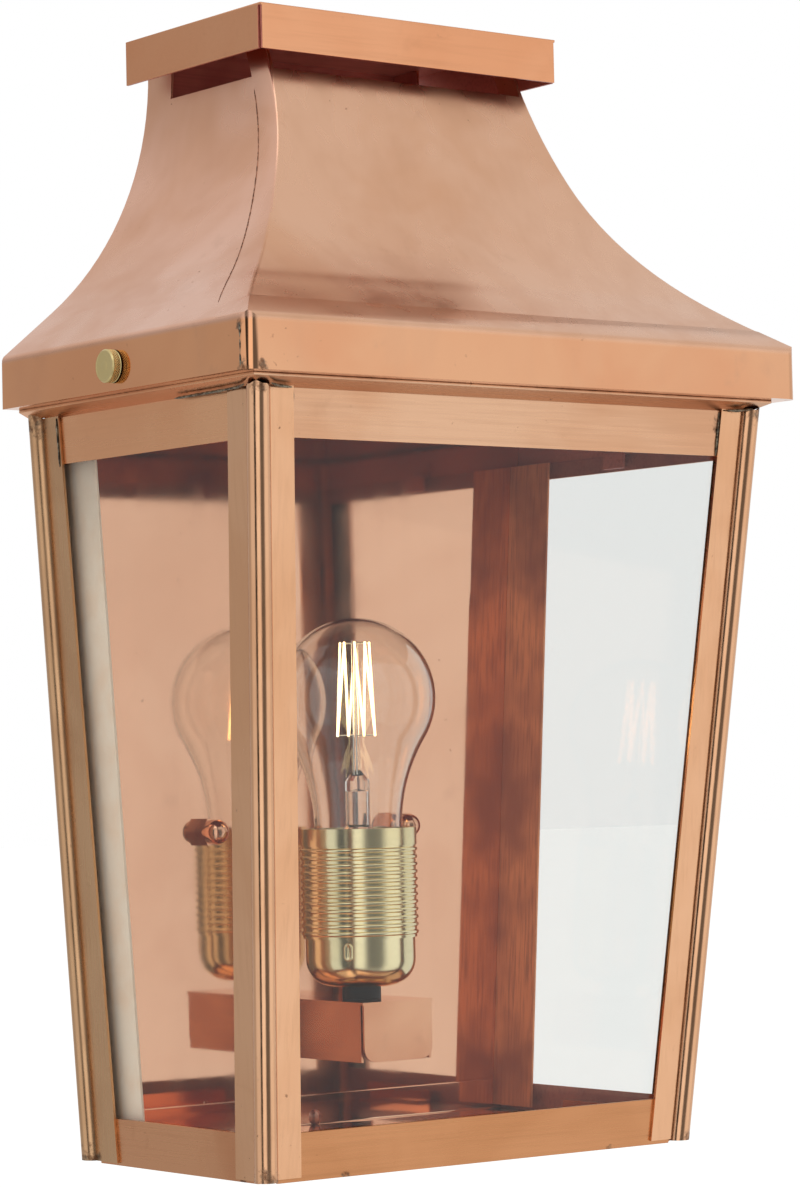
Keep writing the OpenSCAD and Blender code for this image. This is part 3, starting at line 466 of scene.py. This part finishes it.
def piece(name, mesh_from, material, body):
    """A new piece from a bmesh, riding on a body."""
    mesh = bpy.data.meshes.new(name)
    mesh_from.to_mesh(mesh)
    mesh_from.free()
    mesh.materials.append(material)
    obj = bpy.data.objects.new(name, mesh)
    bpy.context.scene.collection.objects.link(obj)
    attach(obj, body)
    return obj


def smooth(bm):
    for face in bm.faces:
        face.smooth = True


def loft(bm, rings):
    """Walls between successive rings and a face on each end, all with outward normals."""
    for a, b in zip(rings, rings[1:]):
        count = len(a)
        for i in range(count):
            bm.faces.new((a[i], a[(i + 1) % count], b[(i + 1) % count], b[i]))
    bm.faces.new(rings[0])
    bm.faces.new(rings[-1])
    bmesh.ops.recalc_face_normals(bm, faces=bm.faces)


def joined(node):
    """The node's mesh with its faces joined up again."""
    bm = bmesh.new()
    bm.from_mesh(nodes[node].data)
    bmesh.ops.remove_doubles(bm, verts=bm.verts, dist=WELD)
    bm.normal_update()
    return bm


def turned_seam():
    """Corner folds of the swept roof, rounded in a copy of its front sheet."""
    bm = joined("roof_front")
    corner = []
    for edge in bm.edges:
        if len(edge.link_faces) != 2 or min(v.co.z for v in edge.verts) < sweep_foot:
            continue
        one, two = (f.normal for f in edge.link_faces)
        if abs(one.x) < abs(two.x):
            one, two = two, one
        middle = (edge.verts[0].co + edge.verts[1].co) / 2
        outward = one.x * middle.x > 0 and two.y < 0.02 and two.z > -0.2
        if outward and abs(one.x) > 0.35 and abs(two.x) < 0.05 and one.angle(two) > 0.5:
            corner.append(edge)
    bmesh.ops.bevel(
        bm, geom=corner, offset=0.0012, offset_type="OFFSET", segments=3, profile=0.5, affect="EDGES",
        clamp_overlap=True,
    )
    smooth(bm)
    for face in bm.faces:
        middle = face.calc_center_median()
        if abs(face.normal.x) > 0.5 and face.normal.x * middle.x > 0:
            face.material_index = 1
        elif face.normal.y > 0.02 and middle.z > sweep_foot:
            face.material_index = 2
    obj = piece("front_roof_sheet", bm, copper["roof"], "roof")
    obj.data.materials.append(copper["roof_side"])
    obj.data.materials.append(copper["roof_inner"])
    split = obj.modifiers.new("split", "EDGE_SPLIT")
    split.split_angle = math.radians(34)
    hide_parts("roof_front")


def knurled(node, side):
    """Thumbscrew with a diamond-knurled rim, a chamfered turned face and its shank."""
    low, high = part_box(node)
    centre = Vector((0, (low.y + high.y) / 2, (low.z + high.z) / 2))
    face_x = max(abs(low.x), abs(high.x))
    head, r, shank_r = 3.8 * MM, 6.0 * MM, 2.0 * MM
    shank_end = min(abs(low.x), abs(high.x))
    around, steps, teeth, depth = 168, 14, 42, 0.00055
    # Turned face with a shallow groove and a chamfer, then the knurled rim, the back and the shank
    groove = face_x - 0.00005
    front = [(face_x, 0.25 * r), (groove, 0.30 * r), (groove, 0.8 * r), (face_x, 0.84 * r)]
    front += [(face_x, r - 0.0006), (face_x - 0.0005, r - 0.0001)]
    back = [(face_x - head, r - 0.0005), (face_x - head, shank_r), (shank_end, shank_r)]
    bm = bmesh.new()
    rings = []

    def ring(x, radius, row=None):
        verts = []
        for i in range(around):
            a = 2 * math.pi * i / around
            reach = radius
            if row is not None:
                u, v = teeth * i / around, row / steps * 3.0
                diamond = abs((u + v) % 1.0 - 0.5) + abs((u - v) % 1.0 - 0.5)
                reach = radius - depth * (1.0 - diamond)
            y, z = centre.y + reach * math.cos(a), centre.z + reach * math.sin(a)
            verts.append(bm.verts.new((side * x, y, z)))
        rings.append(verts)

    for x, radius in front:
        ring(x, radius)
    for i in range(steps + 1):
        x = face_x - 0.0005 - (head - 0.0009) * i / steps
        if i in (0, steps):
            ring(x, r - 0.0001)
        else:
            ring(x, r, i)
    for x, radius in back:
        ring(x, radius)
    loft(bm, rings)
    for face in bm.faces:
        face.smooth = len(face.verts) > 4
    obj = piece("knurled_" + node, bm, knurl_brass, bodies[node])
    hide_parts(node)


def bead_line(name, points, radius, body, swell=0.45, flat=1.0, metal=solder):
    """A run of solder: a tube along points, with lumps, and pointed ends."""
    sides = 9
    bm = bmesh.new()
    fine = []
    for a, b in zip(points, points[1:]):
        count = max(2, int((b - a).length / 0.0011))
        fine += [a.lerp(b, i / count) for i in range(count)]
    fine.append(points[-1])
    rings = []
    for i, p in enumerate(fine):
        ahead = (fine[min(i + 1, len(fine) - 1)] - fine[max(i - 1, 0)]).normalized()
        side_way = ahead.orthogonal().normalized()
        other = ahead.cross(side_way)
        end = min(i, len(fine) - 1 - i) / 3
        size = radius * min(1.0, 0.25 + 0.75 * end) * (1 - swell / 2 + swell * random.random())
        rings.append([
            bm.verts.new(p + size * (math.cos(t) * side_way + flat * math.sin(t) * other))
            for t in (2 * math.pi * k / sides for k in range(sides))
        ])
    loft(bm, rings)
    smooth(bm)
    obj = piece(name, bm, metal, body)
    fine_mesh = obj.modifiers.new("round", "SUBSURF")
    fine_mesh.levels = fine_mesh.render_levels = 1


def lap_line(side):
    """Outer points where the front roof sheet laps over a side sheet, from the eave up to the vent."""

    def spot(v):
        return tuple(round(c * 20000) for c in v.co)

    own = joined("roof_front")
    other = joined("roof_left" if side < 0 else "roof_right")
    places = {spot(v) for v in other.verts}
    shared = [v.co.copy() for v in own.verts if spot(v) in places and v.co.x * side > 0]
    own.free()
    other.free()
    levels = {}
    for p in shared:
        key = round(p.z / 0.0015)
        if key not in levels or abs(p.x) > abs(levels[key].x):
            levels[key] = p
    line = [levels[k] for k in sorted(levels)]
    outer = []
    for before, p, after in zip(line, line[1:], line[2:]):
        share = (p.z - before.z) / (after.z - before.z)
        if abs(p.x) > abs(before.x + share * (after.x - before.x)) - 0.0003:
            outer.append(p)
    return outer + line[-1:]


def cup_slot():
    """Raised upright slot on the lampholder's cup."""
    low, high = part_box("lampholder_cup")
    centre = (low + high) / 2
    outer = (high.x - low.x) / 2
    middle, half_w, half_h, steps = at(0, 0, -201.6).z, 0.0017, 0.0033, 10
    arc = [math.pi * i / steps for i in range(steps + 1)]
    outline = [(half_w * math.cos(a), half_h - half_w + half_w * math.sin(a)) for a in arc]
    outline += [(-u, -v) for u, v in outline]
    facing = math.atan2(-0.65, -0.76)
    bm = bmesh.new()
    rings = []
    for scale, lift in ((1.0, -0.0004), (1.0, 0.0003), (0.8, 0.0005), (0.55, 0.0005), (0.45, 0.0001)):
        ring = []
        for u, v in outline:
            turn = facing + u * scale / outer
            r = outer + lift
            inset = (1 - scale) * 0.0012
            z = middle + v - (inset if v > 0 else -inset)
            ring.append(bm.verts.new((centre.x + r * math.cos(turn), centre.y + r * math.sin(turn), z)))
        rings.append(ring)
    loft(bm, rings)
    smooth(bm)
    piece("cup_slot", bm, brass, "body")


sweep_foot = at(0, 0, SWEEP_FOOT).z
cap_low, cap_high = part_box("roof_cap")
# Faces deeper than this inside the box of the cap are its inner ones
SKIN = 0.0003


def inside_cap(n, c):
    return cap_low.x + SKIN < c.x < cap_high.x - SKIN and c.y > cap_low.y + SKIN and c.z < cap_high.z - SKIN


turned_seam()
paint_faces("roof_left", copper["roof_inner"], lambda n, c: n.x > 0.1 and c.z > sweep_foot)
paint_faces("roof_right", copper["roof_inner"], lambda n, c: n.x < -0.1 and c.z > sweep_foot)
paint_faces("roof_cap", copper["roof_inner"], inside_cap)
# The bracket's left-facing faces take the darker copy of its copper: painted shade
paint_faces("bracket", copper["tray_shaded_side"], lambda n, c: n.x < -0.4)
paint_faces("roof_back", copper["roof_inner"], lambda n, c: n.y < -0.5)
paint_faces("rear_post_right", copper["post_inner"], lambda n, c: n.x < -0.5)
for name in ("front_post_left", "front_post_right", "top_rail_front", "bottom_rail_front"):
    paint_faces(name, copper["post_inner"], lambda n, c: n.y > 0.6)
for name in ("top_rail_left", "bottom_rail_left"):
    paint_faces(name, copper["roof_inner"], lambda n, c: n.x > 0.6)
for name in ("top_rail_right", "bottom_rail_right"):
    paint_faces(name, copper["roof_inner"], lambda n, c: n.x < -0.6)
knurled("thumbscrew_left", -1)
knurled("thumbscrew_right", 1)

# Corner of the eave band: name, top, foot, how far its upper end stands back, radius
EAVE_SEAMS = [
    ("upper", 17.0, 9.5, 0.6, 0.0010),
    ("middle", 12.0, 4.5, 0.25, 0.0006),
    ("lower", 6.5, 1.0, 0.4, 0.0009),
]
HANDS = ((-1, "left"), (1, "right"))
# Joints under the eave on the right hand, in lantern coordinates
FRONT_JOINT = ((99, -145.8, -4.2), (106, -146.6, -3.9), (110, -148.6, -3.4))
SIDE_JOINT = ((116.3, -142, -3.4), (114.6, -136, -3.9), (114.2, -122, -4.1), (114.0, -96, -4.2))

for side, word in HANDS:
    line = [p + Vector((0.00006 * side, 0, 0.00003)) for p in lap_line(side) if p.z > at(0, 0, 24).z]
    bead_line("lap_seam_" + word, line, 0.0002, "roof", swell=0.5, metal=seam_metal)
    for part, z0, z1, back, r in EAVE_SEAMS:
        seam = [
            at(side * (124.6 + 0.1 * k), -152.3 + (0.1 if k else back), z0 + (z1 - z0) * k / 2)
            for k in range(3)
        ]
        bead_line("eave_seam_" + part + "_" + word, seam, r, "roof", swell=0.9, flat=0.7)
    joint = [at(side * (113.2 + 0.0652 * z), -17.3, z) for z in (-4, -9, -15, -22)]
    bead_line("post_solder_" + word, joint, 0.0005, "body", swell=0.9)
for side, word in HANDS:
    bead_line("front_solder_" + word, [at(side * x, y, z) for x, y, z in FRONT_JOINT], 0.0006, "body")
    bead_line("side_solder_" + word, [at(side * x, y, z) for x, y, z in SIDE_JOINT], 0.00055, "body")
for (side, word), low in zip(HANDS, (-9, -21)):
    upright = [at(side * (97.4 + 0.05 * z), -144.1 - 0.1006 * z, z) for z in (-4.4, (low - 4.4) / 2, low)]
    bead_line("rail_solder_" + word, upright, 0.00045, "body", swell=0.9)

cup_slot()
# Thin wires, and nodes that new pieces replace
kept = {"bulb_filament", "filament_supports", "roof_front", "thumbscrew_left", "thumbscrew_right"}
# Curved nodes, which need no bevel
rounded = {
    "front_post_left", "front_post_right", "rear_post_left", "rear_post_right", "lampholder_shell",
    "lampholder_cup", "bulb_glass", "bulb_stem", "bulb_cap", "wall_nuts",
}
unbevelled = rounded | {"glass_front", "glass_left", "glass_right"}
for name in nodes:
    if name not in kept:
        soften(name, 0.0 if name in unbevelled else 0.00022, name not in rounded)

scene = bpy.context.scene


def floor():
    mesh = bpy.data.meshes.new("floor")
    size, low = 30.0, -0.75
    corners = [(-size, -size, low), (size, -size, low), (size, size, low), (-size, size, low)]
    mesh.from_pydata(corners, [], [(0, 1, 2, 3)])
    obj = bpy.data.objects.new("floor", mesh)
    scene.collection.objects.link(obj)
    t = Tree("floor")
    tone = t.mix(t.noise(3.0, 2.0, 0.5), (0.9, 0.9, 0.89), (0.93, 0.93, 0.92))
    matt = t.add("ShaderNodeBsdfDiffuse", {"Color": tone}).outputs[0]
    path = t.add("ShaderNodeLightPath").outputs
    seen = t.math("MAXIMUM", path["Is Camera Ray"], path["Is Transmission Ray"])
    strength = t.math("MULTIPLY", seen, 0.33)
    lift = t.add("ShaderNodeEmission", {"Color": (1, 1, 1, 1), "Strength": strength}).outputs[0]
    total = t.add("ShaderNodeAddShader", {0: matt, 1: lift}).outputs[0]
    away = t.add("ShaderNodeBsdfTransparent", {"Color": (1, 1, 1, 1)}).outputs[0]
    total = t.add("ShaderNodeMixShader", {0: path["Is Glossy Ray"], 1: total, 2: away}).outputs[0]
    t.tree.links.new(total, t.out.inputs["Surface"])
    mesh.materials.append(t.material)


def world():
    sky = bpy.data.worlds.new("studio")
    scene.world = sky
    sky.use_nodes = True
    tree = sky.node_tree
    tree.nodes.clear()
    out = tree.nodes.new("ShaderNodeOutputWorld")
    coords = tree.nodes.new("ShaderNodeTexCoord").outputs["Generated"]

    def join(operation, a, b=0.0):
        n = tree.nodes.new("ShaderNodeMath")
        n.operation = operation
        for socket, value in zip(n.inputs, (a, b)):
            if isinstance(value, bpy.types.NodeSocket):
                tree.links.new(value, socket)
            else:
                socket.default_value = value
        return n.outputs[0]

    def towards(direction):
        dot = tree.nodes.new("ShaderNodeVectorMath")
        dot.operation = "DOT_PRODUCT"
        tree.links.new(coords, dot.inputs[0])
        dot.inputs[1].default_value = direction
        return dot.outputs["Value"]

    # A bright studio: panels and darker gaps by compass direction, even overhead and below.
    # Angles run clockwise seen from above, from the camera's direction as the lantern sees it.
    bearing = join("ARCTAN2", towards((0.794, -0.606, 0)), towards((-0.606, -0.794, 0)))
    turn = join("MULTIPLY_ADD", bearing, 0.5 / math.pi)
    turn.node.inputs[2].default_value = 0.5
    ramp = tree.nodes.new("ShaderNodeValToRGB")
    tree.links.new(turn, ramp.inputs[0])
    # Angle in degrees and brightness
    stops = [
        (-180, 0.85), (-125, 0.52), (-97, 0.52), (-84, 0.80), (-58, 0.85), (-46, 0.8), (-40, 0.05), (-27, 0.05),
        (-20, 1.15), (6, 1.1), (16, 0.16), (46, 0.2), (60, 1.0), (88, 1.0), (104, 0.78), (130, 0.8), (180, 0.85),
    ]
    elements = ramp.color_ramp.elements
    for angle, value in stops[1:-1]:
        elements.new(angle / 360 + 0.5)
    for element, (angle, value) in zip(elements, stops):
        element.position = angle / 360 + 0.5
        element.color = (value, value, value, 1)
    height = towards((0, 0, 1))
    fade = tree.nodes.new("ShaderNodeMapRange")
    fade.interpolation_type = "SMOOTHSTEP"
    steep = join("MAXIMUM", height, join("MULTIPLY", height, -0.6))
    tree.links.new(steep, fade.inputs["Value"])
    for key, value in zip(("From Min", "From Max", "To Min", "To Max"), (0.22, 0.6, 0.0, 1.0)):
        fade.inputs[key].default_value = value
    even = join("MULTIPLY_ADD", join("GREATER_THAN", height, 0.0), 0.14)
    even.node.inputs[2].default_value = 0.68
    lit = join("MULTIPLY", ramp.outputs["Color"], join("SUBTRACT", 1.0, fade.outputs[0]))
    level = join("ADD", lit, join("MULTIPLY", even, fade.outputs[0]))
    path = tree.nodes.new("ShaderNodeLightPath").outputs
    seen = join("MAXIMUM", path["Is Camera Ray"], path["Is Transmission Ray"])
    shown = join("ADD", seen, join("MULTIPLY", join("SUBTRACT", 1.0, seen), level))
    light = tree.nodes.new("ShaderNodeBackground")
    light.inputs["Color"].default_value = (1, 1, 1, 1)
    tree.links.new(shown, light.inputs["Strength"])
    tree.links.new(light.outputs[0], out.inputs["Surface"])


def lamp():
    """Soft square key light over the camera's left shoulder."""
    place, target = Vector((-1.2, -1.1, 2.2)), Vector((0, -0.05, 0.05))
    data = bpy.data.lights.new("key", "AREA")
    data.shape = "RECTANGLE"
    data.size = data.size_y = 1.8
    data.energy = 8
    obj = bpy.data.objects.new("key", data)
    scene.collection.objects.link(obj)
    obj.location = place
    obj.rotation_euler = (target - place).to_track_quat("-Z", "Y").to_euler()


def camera():
    """The photograph's own viewpoint, fitted to it."""
    place = (-0.8307, -1.1548, 0.0251)
    yaw, pitch, roll = (math.radians(a) for a in (37.321, 2.574, -1.222))
    forward = Vector((math.sin(yaw) * math.cos(pitch), math.cos(yaw) * math.cos(pitch), math.sin(pitch)))
    level = Vector((math.cos(yaw), -math.sin(yaw), 0))
    rise = level.cross(forward)
    right = math.cos(roll) * level + math.sin(roll) * rise
    up = -math.sin(roll) * level + math.cos(roll) * rise
    data = bpy.data.cameras.new("camera")
    data.sensor_fit = "HORIZONTAL"
    data.sensor_width = 36
    data.lens = 166.97
    data.clip_start = 0.05
    data.clip_end = 100
    obj = bpy.data.objects.new("camera", data)
    scene.collection.objects.link(obj)
    obj.matrix_world = Matrix([(right[i], up[i], -forward[i], place[i]) for i in range(3)] + [(0, 0, 0, 1)])
    scene.camera = obj


floor()
world()
lamp()
camera()
scene.view_settings.view_transform = "Standard"
